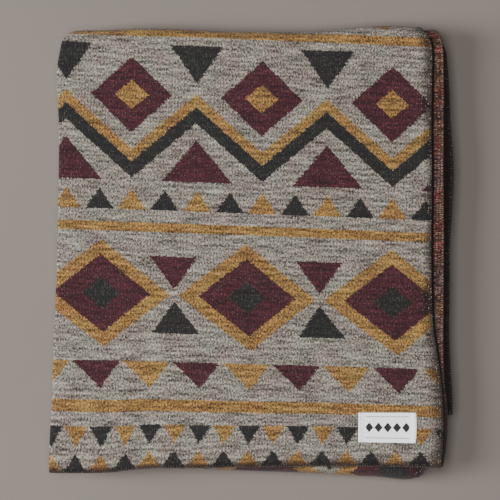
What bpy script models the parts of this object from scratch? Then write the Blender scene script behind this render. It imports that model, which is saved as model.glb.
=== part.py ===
"""Folded wool blanket with a woven label, seen lying flat on a table.

One length of cloth is folded back and forth across its width into a four-layer
band, and the band is folded back and forth along its length into four passes.
X runs across the folded blanket, Y along it and Z up. Sizes are in metres.
"""

import math

import bmesh
import bpy
from mathutils import Vector
from mathutils.bvhtree import BVHTree

MM = 0.001

# Cloth and stack
CLOTH_THICKNESS = 2.3 * MM
LAYER_GAP = 0.5 * MM
PASS_GAP = 0.9 * MM
LAYERS = 4
PASSES = 4

# Label
LABEL_LENGTH = 60.0 * MM
LABEL_WIDTH = 31.0 * MM
LABEL_THICKNESS = 0.8 * MM
LABEL_CENTRE_X = 139.5 * MM
LABEL_CENTRE_Y = -180.5 * MM
LABEL_TURN = math.radians(-1.0)
SEWN_GAP = 0.3 * MM

# Worked out from the driving sizes
LAYER_PITCH = CLOTH_THICKNESS + LAYER_GAP
BAND_THICKNESS = LAYERS * LAYER_PITCH - LAYER_GAP
PASS_PITCH = BAND_THICKNESS + PASS_GAP
STACK_HEIGHT = PASSES * PASS_PITCH - PASS_GAP
TURN_RADIUS = PASS_PITCH / 2
TURN_OUTER = TURN_RADIUS + BAND_THICKNESS / 2

# Mesh steps
LAYER_STEPS = (11, 6, 6, 7)
FOLD_STEPS = 5
PASS_STEPS = (15, 6, 6, 6)
TURN_STEPS = 6
LABEL_STEPS = (8, 4)

# Where the folds and free edges lie before they wander, for placing the turns
NOMINAL_EDGES = dict(left=-200.0, left_low=-198.0, right=197.0, free=185.0, free_low=203.0)

# Edges of the top pass, in mm. Each row is a place along Y.
#  left: fold of layers 1 and 2, left_low: fold of layers 3 and 4,
#  right: fold of layers 2 and 3, free: edge of layer 1, free_low: edge of layer 4
TOP_PASS = [
    dict(y=-226, left=-209.9, left_low=-204.0, right=195.8, free=194.2, free_low=206.5),
    dict(y=-205, left=-209.7, left_low=-204.5, right=199.4, free=195.4, free_low=206.8),
    dict(y=-180, left=-208.6, left_low=-203.5, right=201.4, free=196.7, free_low=207.0),
    dict(y=-160, left=-207.2, left_low=-203.0, right=201.2, free=196.2, free_low=207.0),
    dict(y=-133, left=-206.5, left_low=-202.0, right=198.5, free=194.2, free_low=206.0),
    dict(y=-107, left=-206.4, left_low=-201.5, right=197.2, free=190.6, free_low=204.2),
    dict(y=-75, left=-205.8, left_low=-201.0, right=197.0, free=186.0, free_low=203.4),
    dict(y=-50, left=-204.6, left_low=-200.5, right=197.2, free=184.8, free_low=203.8),
    dict(y=-30, left=-202.6, left_low=-200.0, right=197.4, free=184.4, free_low=204.0),
    dict(y=8, left=-201.4, left_low=-199.0, right=197.6, free=184.0, free_low=204.2),
    dict(y=45, left=-200.8, left_low=-198.0, right=197.4, free=184.4, free_low=206.5),
    dict(y=90, left=-199.8, left_low=-196.5, right=197.0, free=184.6, free_low=208.1),
    dict(y=136, left=-199.9, left_low=-196.5, right=197.4, free=184.0, free_low=205.0),
    dict(y=172, left=-201.6, left_low=-197.5, right=197.6, free=184.6, free_low=203.4),
    dict(y=194, left=-203.2, left_low=-198.5, right=197.2, free=184.8, free_low=201.6),
    dict(y=210, left=-200.2, left_low=-196.0, right=196.6, free=184.6, free_low=200.0),
    dict(y=222, left=-195.0, left_low=-192.5, right=195.0, free=182.0, free_low=197.5),
    dict(y=236, left=-186.5, left_low=-187.0, right=190.5, free=172.5, free_low=193.0),
]

# Edges of the three passes below, in mm
LOWER_PASSES = [
    [
        dict(y=-234, left=-196.0, left_low=-199.0, right=172.5, free=169.0, free_low=172.0),
        dict(y=-226, left=-201.0, left_low=-204.0, right=179.5, free=175.0, free_low=179.0),
        dict(y=-190, left=-203.0, left_low=-205.5, right=188.0, free=181.0, free_low=190.0),
        dict(y=-100, left=-201.0, left_low=-203.0, right=194.5, free=185.0, free_low=199.0),
        dict(y=100, left=-198.0, left_low=-199.0, right=196.0, free=182.0, free_low=202.5),
        dict(y=210, left=-197.0, left_low=-197.5, right=194.5, free=178.0, free_low=199.0),
        dict(y=236, left=-187.0, left_low=-187.5, right=189.0, free=170.0, free_low=191.5),
    ],
    [
        dict(y=-234, left=-194.0, left_low=-198.0, right=171.5, free=168.0, free_low=171.0),
        dict(y=-226, left=-199.0, left_low=-203.0, right=178.5, free=174.0, free_low=178.0),
        dict(y=-190, left=-203.5, left_low=-206.0, right=187.0, free=182.0, free_low=188.0),
        dict(y=-100, left=-204.0, left_low=-202.0, right=196.0, free=189.0, free_low=194.0),
        dict(y=100, left=-201.0, left_low=-198.0, right=199.0, free=188.0, free_low=193.5),
        dict(y=210, left=-198.0, left_low=-196.0, right=196.0, free=187.0, free_low=193.0),
        dict(y=236, left=-189.0, left_low=-188.0, right=189.5, free=181.0, free_low=187.0),
    ],
    [
        dict(y=-226, left=-205.5, left_low=-201.0, right=190.5, free=187.0, free_low=184.0),
        dict(y=-100, left=-204.0, left_low=-200.0, right=196.5, free=188.0, free_low=189.5),
        dict(y=100, left=-199.0, left_low=-197.5, right=200.0, free=187.0, free_low=192.0),
        dict(y=210, left=-196.5, left_low=-195.0, right=195.5, free=185.0, free_low=189.0),
        dict(y=236, left=-188.0, left_low=-187.0, right=188.5, free=179.0, free_low=184.0),
    ],
]

# Outlines of the turns, in mm. Each row gives how far along Y the outside reaches at x.
#  top: the turn that shows at the far end, under: the turn below it,
#  bottom: the turn at the near end
TURNS = [
    dict(x=-206, top=211.0, under=208.0, bottom=-210.0),
    dict(x=-200, top=217.5, under=214.0, bottom=-217.0),
    dict(x=-195, top=223.0, under=219.0, bottom=-220.5),
    dict(x=-188, top=227.2, under=222.5, bottom=-222.0),
    dict(x=-165, top=229.6, under=225.0, bottom=-222.5),
    dict(x=-120, top=231.8, under=227.0, bottom=-222.0),
    dict(x=-75, top=231.2, under=226.0, bottom=-223.0),
    dict(x=-30, top=228.6, under=223.5, bottom=-224.2),
    dict(x=20, top=228.8, under=224.0, bottom=-226.0),
    dict(x=65, top=229.4, under=226.0, bottom=-227.3),
    dict(x=98, top=232.4, under=228.0, bottom=-227.8),
    dict(x=130, top=234.5, under=229.5, bottom=-229.2),
    dict(x=158, top=235.4, under=230.5, bottom=-228.8),
    dict(x=178, top=234.0, under=230.0, bottom=-232.0),
    dict(x=190, top=231.6, under=227.5, bottom=-232.8),
    dict(x=198, top=227.0, under=223.0, bottom=-230.5),
    dict(x=206, top=219.0, under=216.0, bottom=-224.0),
]

# Cut ends of the cloth, in mm. Each row gives how far along Y each end reaches at x.
#  first: the hem that shows on the top layer, last: the hem at the bottom of the stack
HEMS = [
    dict(x=-210, first=-225.4, last=-219.0),
    dict(x=-175, first=-226.0, last=-221.5),
    dict(x=-140, first=-225.4, last=-222.5),
    dict(x=-110, first=-221.8, last=-221.0),
    dict(x=-55, first=-220.8, last=-220.0),
    dict(x=0, first=-220.2, last=-221.0),
    dict(x=60, first=-219.4, last=-218.5),
    dict(x=130, first=-219.8, last=-219.5),
    dict(x=200, first=-221.2, last=-221.5),
]

# How far the hem stops short of its start at the first free edge, at each edge and
# fold on the way to the second free edge, in mm
HEM_SHORT = dict(first=(0.0, 0.0, 1.0, 22.0, 55.0), last=(0.0, 5.0, 3.0, 11.0, 16.0))

# Swells of the stack: the share of its height by which each lifts it at its middle
#  x, y: the middle, wide and long: the reach along X and Y, all in mm
SWELLS = [
    dict(x=-198, y=0, wide=26, long=900, rise=0.065),
    dict(x=190, y=60, wide=40, long=900, rise=0.020),
    dict(x=0, y=224, wide=900, long=30, rise=0.060),
    dict(x=20, y=-222, wide=900, long=24, rise=0.035),
    dict(x=-60, y=90, wide=120, long=90, rise=0.022),
    dict(x=110, y=-60, wide=90, long=110, rise=-0.026),
    dict(x=-120, y=-150, wide=80, long=70, rise=0.018),
    dict(x=205, y=-225, wide=60, long=50, rise=-0.060),
]


def smooth_between(rows, key, place, column):
    """Value of a column at a place, eased between the rows on either side."""
    if place <= rows[0][key]:
        return rows[0][column]
    for before, after in zip(rows, rows[1:]):
        if place <= after[key]:
            share = (place - before[key]) / (after[key] - before[key])
            eased = share * share * (3 - 2 * share)
            mixed = 0.5 * share + 0.5 * eased
            return before[column] + (after[column] - before[column]) * mixed
    return rows[-1][column]


def edges_of(pass_index, y):
    """Where the folds and free edges of a pass lie along X, at a place along Y."""
    rows = TOP_PASS if pass_index == 0 else LOWER_PASSES[pass_index - 1]
    names = ("left", "left_low", "right", "free", "free_low")
    return {name: smooth_between(rows, "y", y / MM, name) * MM for name in names}


def turn_axis(turn_index, x):
    """Place along Y of the axis of a turn between two passes, at x."""
    column = ("top", "bottom", "under")[turn_index]
    reach = smooth_between(TURNS, "x", x / MM, column) * MM
    return reach + TURN_OUTER if column == "bottom" else reach - TURN_OUTER


def hem_place(which, x, cloth_place):
    """Where a hem lies along Y, for a place counted in layers from the first edge."""
    short = HEM_SHORT[which]
    low = min(int(cloth_place), LAYERS - 1)
    stop = short[low] + (short[low + 1] - short[low]) * (cloth_place - low)
    return (smooth_between(HEMS, "x", x / MM, which) + stop) * MM


def swell(x, y):
    """Share of its height by which the stack rises at a point."""
    total = 0.0
    for row in SWELLS:
        across = (x / MM - row["x"]) / row["wide"]
        along = (y / MM - row["y"]) / row["long"]
        total += row["rise"] * math.exp(-(across * across + along * along))
    return total


def spread(steps):
    """Shares from 0 to 1 that lie closer together near both ends."""
    return [0.5 - 0.5 * math.cos(math.pi * i / steps) for i in range(steps + 1)]


def band_stations():
    """Stations of the four-layer band, from the first layer's free edge to the fourth's.

    Each is (layer, start, end, share, angle, side). On a layer the share is of the way
    from its start to its end. On a fold the angle is about the edge, towards its side.
    """
    runs = [("free", "left"), ("left", "right"), ("right", "left_low"), ("left_low", "free_low")]
    stations = []
    for layer, (start, end) in enumerate(runs):
        for share in spread(LAYER_STEPS[layer]):
            stations.append((layer, start, end, share, None, 0))
        if layer < LAYERS - 1:
            side = -1 if end.startswith("left") else 1
            for i in range(1, FOLD_STEPS):
                stations.append((layer, end, end, 1.0, math.pi * i / FOLD_STEPS, side))
    return stations


def straight_end(name, edges):
    """Where the flat of a layer ends: at a free edge, or where a fold starts."""
    fold_reach = LAYER_PITCH / 2 + CLOTH_THICKNESS / 2
    if name.startswith("free"):
        return edges[name]
    return edges[name] + (fold_reach if name.startswith("left") else -fold_reach)


def band_point(station, edges, offset):
    """X and height in the band of one side of the cloth at a station.

    The height is measured from the middle of the band. The offset is half the
    cloth's thickness, positive for the side that faces up on the first layer.
    """
    layer, start, end, share, angle, side = station
    height = (BAND_THICKNESS - CLOTH_THICKNESS) / 2 - layer * LAYER_PITCH
    last = straight_end(end, edges)
    if angle is None:
        first = straight_end(start, edges)
        return first + (last - first) * share, height + (offset if layer % 2 == 0 else -offset)
    radius = LAYER_PITCH / 2 + (offset if side < 0 else -offset)
    return last + side * radius * math.sin(angle), height - LAYER_PITCH / 2 + radius * math.cos(angle)


def guide_place(station):
    """X of a station before the edges wander."""
    edges = {name: place * MM for name, place in NOMINAL_EDGES.items()}
    return band_point(station, edges, 0.0)[0]


def pass_middle(pass_index):
    """Height of the middle of a pass."""
    return STACK_HEIGHT - BAND_THICKNESS / 2 - pass_index * PASS_PITCH


def pass_point(pass_index, share, station, offset):
    """Point of the cloth on a flat pass, a share of the way from its start."""
    guide = guide_place(station)
    cloth_place = station[0] + station[3]
    if pass_index == 0:
        start = hem_place("first", guide, cloth_place)
    else:
        start = turn_axis(pass_index - 1, guide)
    if pass_index == PASSES - 1:
        end = hem_place("last", guide, cloth_place)
    else:
        end = turn_axis(pass_index, guide)
    y = start + (end - start) * share
    x, height = band_point(station, edges_of(pass_index, y), offset)
    z = pass_middle(pass_index) + (height if pass_index % 2 == 0 else -height)
    return x, y, z


def turn_point(turn_index, angle, station, offset):
    """Point of the cloth on a turn between two passes."""
    way = 1 if turn_index % 2 == 0 else -1
    height = band_point(station, edges_of(turn_index, 0.0), offset)[1]
    radius = TURN_RADIUS + way * height
    y = turn_axis(turn_index, guide_place(station)) + way * radius * math.sin(angle)
    before = band_point(station, edges_of(turn_index, y), offset)[0]
    after = band_point(station, edges_of(turn_index + 1, y), offset)[0]
    x = before + (after - before) * angle / math.pi
    z = pass_middle(turn_index) - PASS_PITCH / 2 + radius * math.cos(angle)
    return x, y, z


def cloth_rings(stations):
    """Rings of points round the band's cloth, from the first hem to the last."""
    half = CLOTH_THICKNESS / 2
    rings = []

    def add_ring(point_at):
        upper = [point_at(station, half) for station in stations]
        lower = [point_at(station, -half) for station in stations]
        rings.append((upper, lower))

    for pass_index in range(PASSES):
        for share in spread(PASS_STEPS[pass_index]):
            add_ring(lambda st, off: pass_point(pass_index, share, st, off))
        if pass_index < PASSES - 1:
            for i in range(1, TURN_STEPS):
                angle = math.pi * i / TURN_STEPS
                add_ring(lambda st, off: turn_point(pass_index, angle, st, off))
    return rings


def raised(point):
    """The point moved up by the stack's swell, which leaves the underside flat."""
    x, y, z = point
    return Vector((x, y, z * (1 + swell(x, y))))


def build_blanket(material):
    """The folded cloth as one closed solid."""
    stations = band_stations()
    mesh = bmesh.new()
    uppers = []
    lowers = []
    for upper, lower in cloth_rings(stations):
        uppers.append([mesh.verts.new(raised(point)) for point in upper])
        lowers.append([mesh.verts.new(raised(point)) for point in lower])
    last = len(stations) - 1
    for r in range(len(uppers) - 1):
        for s in range(last):
            mesh.faces.new((uppers[r][s], uppers[r + 1][s], uppers[r + 1][s + 1], uppers[r][s + 1]))
            mesh.faces.new((lowers[r][s], lowers[r][s + 1], lowers[r + 1][s + 1], lowers[r + 1][s]))
        mesh.faces.new((uppers[r][0], lowers[r][0], lowers[r + 1][0], uppers[r + 1][0]))
        mesh.faces.new((uppers[r][last], uppers[r + 1][last], lowers[r + 1][last], lowers[r][last]))
    for s in range(last):
        mesh.faces.new((uppers[0][s], uppers[0][s + 1], lowers[0][s + 1], lowers[0][s]))
        mesh.faces.new((uppers[-1][s], lowers[-1][s], lowers[-1][s + 1], uppers[-1][s + 1]))
    return finish_object(mesh, "blanket", material)


def build_label(blanket, material):
    """The label as a thin closed sheet that follows the cloth under it."""
    tree = BVHTree.FromObject(blanket, bpy.context.evaluated_depsgraph_get())
    across, along = LABEL_STEPS
    mesh = bmesh.new()
    bottoms = []
    tops = []
    above = STACK_HEIGHT * 2
    for i in range(across + 1):
        bottom_row = []
        top_row = []
        for j in range(along + 1):
            u = (i / across - 0.5) * LABEL_LENGTH
            v = (j / along - 0.5) * LABEL_WIDTH
            x = LABEL_CENTRE_X + u * math.cos(LABEL_TURN) - v * math.sin(LABEL_TURN)
            y = LABEL_CENTRE_Y + u * math.sin(LABEL_TURN) + v * math.cos(LABEL_TURN)
            z = tree.ray_cast(Vector((x, y, above)), Vector((0, 0, -1)))[0].z + SEWN_GAP
            bottom_row.append(mesh.verts.new((x, y, z)))
            top_row.append(mesh.verts.new((x, y, z + LABEL_THICKNESS)))
        bottoms.append(bottom_row)
        tops.append(top_row)
    for i in range(across):
        for j in range(along):
            mesh.faces.new((tops[i][j], tops[i + 1][j], tops[i + 1][j + 1], tops[i][j + 1]))
            mesh.faces.new((bottoms[i][j], bottoms[i][j + 1], bottoms[i + 1][j + 1], bottoms[i + 1][j]))
    rim = [(i, 0) for i in range(across)]
    rim += [(across, j) for j in range(along)]
    rim += [(i, along) for i in range(across, 0, -1)]
    rim += [(0, j) for j in range(along, 0, -1)]
    for (i, j), (k, m) in zip(rim, rim[1:] + rim[:1]):
        mesh.faces.new((bottoms[i][j], bottoms[k][m], tops[k][m], tops[i][j]))
    return finish_object(mesh, "label", material)


def finish_object(mesh, name, material):
    """Object made of a bmesh, with its normals out and one material."""
    bmesh.ops.recalc_face_normals(mesh, faces=mesh.faces)
    data = bpy.data.meshes.new(name)
    mesh.to_mesh(data)
    mesh.free()
    data.shade_smooth()
    data.set_sharp_from_angle(angle=math.radians(50))
    data.materials.append(material)
    item = bpy.data.objects.new(name, data)
    bpy.context.scene.collection.objects.link(item)
    return item


def plain_material(name, colour, roughness):
    """Principled material with a colour and a roughness."""
    material = bpy.data.materials.new(name)
    material.use_nodes = True
    shader = material.node_tree.nodes["Principled BSDF"]
    shader.inputs["Base Color"].default_value = (*colour, 1.0)
    shader.inputs["Roughness"].default_value = roughness
    shader.inputs["Metallic"].default_value = 0.0
    return material


def centre_on_origin(items):
    """Moves the meshes so that the whole stands centred on the origin."""
    points = [item.matrix_world @ vertex.co for item in items for vertex in item.data.vertices]
    lows = [min(point[axis] for point in points) for axis in range(3)]
    highs = [max(point[axis] for point in points) for axis in range(3)]
    shift = Vector(((lows[0] + highs[0]) / 2, (lows[1] + highs[1]) / 2, lows[2]))
    for item in items:
        for vertex in item.data.vertices:
            vertex.co -= shift


def main():
    for item in list(bpy.data.objects):
        bpy.data.objects.remove(item, do_unlink=True)
    wool = plain_material("wool", (0.24, 0.215, 0.195), 0.95)
    ribbon = plain_material("label_ribbon", (0.72, 0.72, 0.74), 0.8)
    blanket = build_blanket(wool)
    label = build_label(blanket, ribbon)
    centre_on_origin([blanket, label])


main()
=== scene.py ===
import math
from functools import partial

import bpy
import numpy as np
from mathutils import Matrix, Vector
from mathutils.bvhtree import BVHTree


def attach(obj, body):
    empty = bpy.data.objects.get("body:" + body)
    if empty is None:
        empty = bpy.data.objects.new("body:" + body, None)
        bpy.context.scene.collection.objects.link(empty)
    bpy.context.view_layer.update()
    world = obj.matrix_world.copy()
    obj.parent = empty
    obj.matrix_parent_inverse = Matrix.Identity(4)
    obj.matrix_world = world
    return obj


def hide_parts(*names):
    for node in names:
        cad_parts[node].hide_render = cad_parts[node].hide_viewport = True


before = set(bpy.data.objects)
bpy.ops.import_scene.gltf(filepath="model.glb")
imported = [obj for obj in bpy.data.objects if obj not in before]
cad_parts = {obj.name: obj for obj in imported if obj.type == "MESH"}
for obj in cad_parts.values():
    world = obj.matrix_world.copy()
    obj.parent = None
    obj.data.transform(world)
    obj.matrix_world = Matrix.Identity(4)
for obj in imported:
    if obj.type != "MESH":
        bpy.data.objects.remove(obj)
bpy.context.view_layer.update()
print("frame loaded")

mm = 0.001


def tableOf(columns, *rows):
    return [dict(zip(columns.split(), row)) for row in rows]


def placeData(name, data):
    item = bpy.data.objects.new(name, data)
    bpy.context.scene.collection.objects.link(item)
    return item


def makeObject(name, vertices, edges, faces):
    mesh = bpy.data.meshes.new(name)
    mesh.from_pydata(vertices, edges, faces)
    mesh.shade_smooth()
    return placeData(name, mesh)


# The folded cloth
cloth = {
    "thickness": 2.3 * mm,
    "layerGap": 0.5 * mm,  # between layers of the band
    "passGap": 0.9 * mm,  # between passes of the band
    "layerSteps": (100, 26, 26, 34),
    "foldSteps": 9,
    "passSteps": (118, 20, 20, 20),
    "turnSteps": 11,
    "edgeRound": (0.0, 0.12, 0.4, 1.0),  # extra stations at a cut edge, in half thicknesses
    "thinnest": 0.3,  # share of the half thickness left at a cut edge
    "layerSpan": 0.39,  # about how long a layer is across
    "passSpan": 0.4475,  # about how long a pass is
    "puffLift": 1.5 * mm,  # lift of the fold that shows beside the last edge
    "puffWide": 4.6 * mm,
    "puffRound": 2.2 * mm,
    "puffSpan": 0.385,  # length of the layer beside that fold
}
layers = 4
passes = 4
layerPitch = cloth["thickness"] + cloth["layerGap"]
bandThickness = layers * layerPitch - cloth["layerGap"]
passPitch = bandThickness + cloth["passGap"]
stackHeight = passes * passPitch - cloth["passGap"]
turnRadius = passPitch / 2
turnOuter = turnRadius + bandThickness / 2
halfCloth = cloth["thickness"] / 2

edgeNames = ("free", "left", "right", "leftLow", "freeLow")
nominalEdges = dict(free=185.0, left=-200.0, right=197.0, leftLow=-198.0, freeLow=203.0)

# Where each fold and edge of a pass lies across, in mm, at places along y; the first pass is the top
passColumns = "y left leftLow right free freeLow"
firstPass = tableOf(
    passColumns,
    (-226, -209.9, -204.0, 195.8, 194.2, 206.5),
    (-205, -209.7, -204.5, 199.4, 195.4, 206.8),
    (-180, -208.6, -203.5, 201.4, 196.7, 207.0),
    (-160, -207.2, -203.0, 201.2, 196.2, 207.0),
    (-133, -206.5, -202.0, 198.5, 194.2, 206.0),
    (-107, -205.6, -201.5, 197.2, 190.6, 204.2),
    (-75, -204.6, -201.0, 197.0, 186.0, 203.4),
    (-50, -203.4, -200.5, 197.2, 184.8, 203.8),
    (-30, -202.6, -200.0, 197.4, 184.4, 204.0),
    (8, -201.4, -199.0, 197.6, 184.0, 204.2),
    (45, -200.8, -198.0, 197.4, 184.4, 206.5),
    (90, -199.8, -196.5, 197.0, 184.6, 208.1),
    (136, -199.9, -196.5, 197.4, 184.0, 205.0),
    (172, -201.6, -197.5, 197.6, 184.6, 203.4),
    (194, -201.2, -198.5, 197.2, 184.8, 201.6),
    (210, -198.2, -195.5, 196.6, 184.6, 199.6),
    (222, -195.4, -192.5, 194.6, 182.0, 194.5),
    (236, -188.5, -187.0, 189.5, 172.5, 189.5),
)
secondPass = tableOf(
    passColumns,
    (-234, -196.0, -199.0, 172.6, 169.0, 172.3),
    (-226, -201.0, -204.0, 177.6, 173.5, 177.2),
    (-190, -203.0, -205.5, 188.0, 181.0, 190.0),
    (-100, -201.0, -203.0, 194.5, 185.0, 199.0),
    (100, -198.0, -199.0, 196.0, 182.0, 202.5),
    (210, -197.0, -197.5, 194.5, 178.0, 199.0),
    (236, -187.0, -187.5, 189.0, 170.0, 191.5),
)
thirdPass = tableOf(
    passColumns,
    (-234, -194.0, -198.0, 171.6, 168.0, 171.3),
    (-226, -199.0, -203.0, 176.6, 172.5, 176.2),
    (-190, -203.5, -206.0, 187.0, 182.0, 188.0),
    (-100, -204.0, -202.0, 196.0, 189.0, 194.0),
    (100, -201.0, -198.0, 199.0, 188.0, 193.5),
    (210, -198.0, -196.0, 196.0, 187.0, 193.0),
    (236, -189.0, -188.0, 189.5, 181.0, 187.0),
)
lastPass = tableOf(
    passColumns,
    (-226, -205.5, -201.0, 190.5, 187.0, 184.0),
    (-100, -204.0, -200.0, 196.5, 188.0, 189.5),
    (100, -199.0, -197.5, 200.0, 187.0, 192.0),
    (210, -196.5, -195.0, 195.5, 185.0, 189.0),
    (236, -188.0, -187.0, 188.5, 179.0, 184.0),
)
passEdges = (firstPass, secondPass, thirdPass, lastPass)

# How far along y the outside of each turn of the band reaches, in mm
turns = tableOf(
    "x top under bottom",
    (-206, 221.0, 212.0, -210.0),
    (-200, 226.4, 217.5, -217.0),
    (-195, 229.4, 221.0, -220.5),
    (-188, 230.4, 223.5, -222.0),
    (-165, 230.8, 225.0, -222.5),
    (-120, 232.6, 227.0, -222.0),
    (-75, 231.8, 226.0, -223.0),
    (-30, 229.4, 223.5, -224.2),
    (20, 229.3, 224.0, -226.0),
    (65, 229.4, 226.0, -227.3),
    (98, 232.4, 228.0, -228.6),
    (130, 234.5, 229.5, -230.8),
    (158, 235.4, 230.5, -231.9),
    (178, 234.0, 230.0, -234.2),
    (190, 233.4, 228.5, -234.9),
    (198, 232.0, 226.0, -233.6),
    (206, 227.5, 221.0, -229.0),
)
turnColumns = ("top", "bottom", "under")  # in the order of the turns

# Where the two hems lie along y, and how far they stop short towards the last edge, in mm
hems = tableOf(
    "x first last",
    (-210, -225.4, -219.0),
    (-175, -226.0, -221.5),
    (-140, -225.4, -222.5),
    (-110, -221.8, -221.0),
    (-55, -220.8, -220.0),
    (0, -220.2, -221.0),
    (60, -219.4, -218.5),
    (130, -219.8, -219.5),
    (200, -221.2, -221.5),
)
hemShort = dict(first=(0.0, 0.0, 1.0, 22.0, 55.0), last=(0.0, 5.0, 3.0, 11.0, 16.0))

# Soft swells of the whole stack, as shares of its height
swells = tableOf(
    "x y wide long rise",
    (-198, 0, 26, 900, 0.065),
    (190, 60, 40, 900, 0.020),
    (0, 224, 900, 30, 0.060),
    (20, -222, 900, 24, 0.035),
    (-60, 90, 120, 90, 0.022),
    (110, -60, 90, 110, -0.026),
    (-120, -150, 80, 70, 0.018),
    (205, -225, 60, 50, -0.060),
    (206, -10, 15, 900, -0.070),
)

# Creases of the top layers: middle, direction in degrees, reach along and
# across, and lift, all in mm. A ridge lifts and a trough sinks.
creases = tableOf(
    "x y turn long wide lift",
    (142, -58, 62, 46, 9, -1.5),
    (158, -44, 62, 40, 8, 0.9),
    (-176, -190, 38, 30, 7, -1.1),
    (-150, -172, 30, 44, 9, 0.8),
    (-60, 150, -8, 120, 16, -0.9),
    (70, 120, 74, 80, 14, 0.8),
    (-120, 20, 84, 110, 13, 0.9),
    (-92, 14, 84, 120, 12, -0.8),
    (40, -130, 6, 130, 13, -0.8),
    (150, 150, -50, 60, 10, -0.9),
    (-20, -200, 4, 120, 9, 0.7),
    (178, -140, 82, 60, 8, 0.9),
)
creaseFade = 8.0 * mm  # how fast a crease dies out below the top layer


def easeThrough(rows, column, places):
    # smooth curve through a column of a table whose first column is the place; the table is in mm
    places = places / mm
    knots = np.array([next(iter(row.values())) for row in rows], float)
    values = np.array([row[column] for row in rows], float)
    slopes = np.gradient(values, knots)
    low = np.clip(np.searchsorted(knots, places) - 1, 0, len(knots) - 2)
    span = knots[low + 1] - knots[low]
    t = np.clip((places - knots[low]) / span, 0, 1)
    start = (2 * t**3 - 3 * t**2 + 1) * values[low] + (t**3 - 2 * t**2 + t) * span * slopes[low]
    end = (3 * t**2 - 2 * t**3) * values[low + 1] + (t**3 - t**2) * span * slopes[low + 1]
    return (start + end) * mm


def edgesOf(passIndex, y):
    return np.array([easeThrough(passEdges[passIndex], name, y) for name in edgeNames])


def roundedEdge(distance):
    # share of the half thickness at a distance from a cut edge
    share = np.clip(distance / halfCloth, 0, 1)
    least = cloth["thinnest"]
    return least + (1 - least) * np.sqrt(1 - (1 - share) ** 2)


def sharesAlong(steps, span, startCut, endCut, gather=0.45):
    # shares from 0 to 1, gathered towards both ends, with extra ones at a cut edge, and the
    # thinness of the cloth at each
    even = np.linspace(0, 1, steps + 1)
    shares = (1 - gather) * even + gather * (0.5 - 0.5 * np.cos(math.pi * even))
    rim = np.array(cloth["edgeRound"]) * halfCloth / span
    thin = np.ones(len(shares))
    if startCut:
        shares = np.concatenate([rim, shares[1:]])
        thin = roundedEdge(shares * span)
    if endCut:
        shares = np.concatenate([shares[:-1], 1 - rim[::-1]])
        thin = roundedEdge((1 - shares) * span)
    return shares, thin


def bandStations():
    # layer, share, angle, side and thinness of each station across the band
    rows = []
    for layer in range(layers):
        last = layer == layers - 1
        found = sharesAlong(cloth["layerSteps"][layer], cloth["layerSpan"], layer == 0, last)
        rows += [(layer, share, 0, 0, thin) for share, thin in zip(*found)]
        if not last:
            side = -1 if layer % 2 == 0 else 1
            angles = [math.pi * i / cloth["foldSteps"] for i in range(1, cloth["foldSteps"])]
            rows += [(layer, 1, angle, side, 1) for angle in angles]
    found = dict(zip(("layer", "share", "angle", "side", "thin"), np.array(rows, float).T))
    found["layer"] = found["layer"].astype(int)
    return found


stations = bandStations()
stationCount = len(stations["layer"])
clothPlace = stations["layer"] + stations["share"]
farAway = 1.0  # a distance that nothing reaches


def straightEnd(which, edges):
    # where the flat of a layer ends: at a free edge, or where its fold starts
    place = np.take_along_axis(edges, which[None, :], 0)[0]
    reach = layerPitch / 2 + halfCloth
    inward = np.where(which == 2, -1, 1) * np.where((which == 0) | (which == 4), 0, 1)
    return place + inward * reach


def puffOf():
    # lift of the fold that shows beside the last edge, at each station
    fromFold = np.where(stations["layer"] == 1, 1 - stations["share"], farAway) * cloth["puffSpan"]
    lift = cloth["puffLift"] * np.exp(-((fromFold / cloth["puffWide"]) ** 2))
    return lift * np.where(stations["side"] > 0, np.cos(stations["angle"] / 2), 1)


puff = puffOf()


def bandPoint(edges, offset):
    st = stations
    height = (bandThickness - cloth["thickness"]) / 2 - st["layer"] * layerPitch
    first = straightEnd(st["layer"], edges)
    last = straightEnd(st["layer"] + 1, edges)
    flatX = first + (last - first) * st["share"]
    flatZ = height + np.where(st["layer"] % 2 == 0, offset, -offset)
    radius = layerPitch / 2 + np.where(st["side"] < 0, offset, -offset)
    foldX = last + st["side"] * radius * np.sin(st["angle"])
    foldZ = height - layerPitch / 2 + radius * np.cos(st["angle"])
    onFold = st["side"] != 0
    return np.where(onFold, foldX, flatX), np.where(onFold, foldZ, flatZ) + puff


nominal = np.array([[nominalEdges[name] * mm] for name in edgeNames]) * np.ones(stationCount)
guide, guideHeight = bandPoint(nominal, 0.0)
clothWidth = np.cumsum(np.hypot(np.diff(guide), np.diff(guideHeight)))[-1]


def hemPlace(which):
    stop = np.interp(clothPlace, range(layers + 1), hemShort[which])
    return easeThrough(hems, which, guide) + stop * mm


def turnAxis(column):
    reach = easeThrough(turns, column, guide)
    return reach + turnOuter if column == "bottom" else reach - turnOuter


# Where each pass starts and ends along y, at each station
passEnds = [hemPlace("first"), *[turnAxis(column) for column in turnColumns], hemPlace("last")]


def passMiddle(passIndex):
    return stackHeight - bandThickness / 2 - passIndex * passPitch


def passPoint(passIndex, share, offset):
    start, end = passEnds[passIndex : passIndex + 2]
    y = start + (end - start) * share
    x, height = bandPoint(edgesOf(passIndex, y), offset)
    z = passMiddle(passIndex) + (height if passIndex % 2 == 0 else -height)
    return np.stack([x, y, z], 1)


def turnPoint(turnIndex, angle, offset):
    way = 1 if turnIndex % 2 == 0 else -1
    height = bandPoint(nominal, offset)[1]
    radius = turnRadius + way * height
    y = passEnds[turnIndex + 1] + way * radius * math.sin(angle)
    before = bandPoint(edgesOf(turnIndex, y), offset)[0]
    after = bandPoint(edgesOf(turnIndex + 1, y), offset)[0]
    x = before + (after - before) * angle / math.pi
    z = passMiddle(turnIndex) - passPitch / 2 + radius * math.cos(angle)
    return np.stack([x, y, z], 1)


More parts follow.
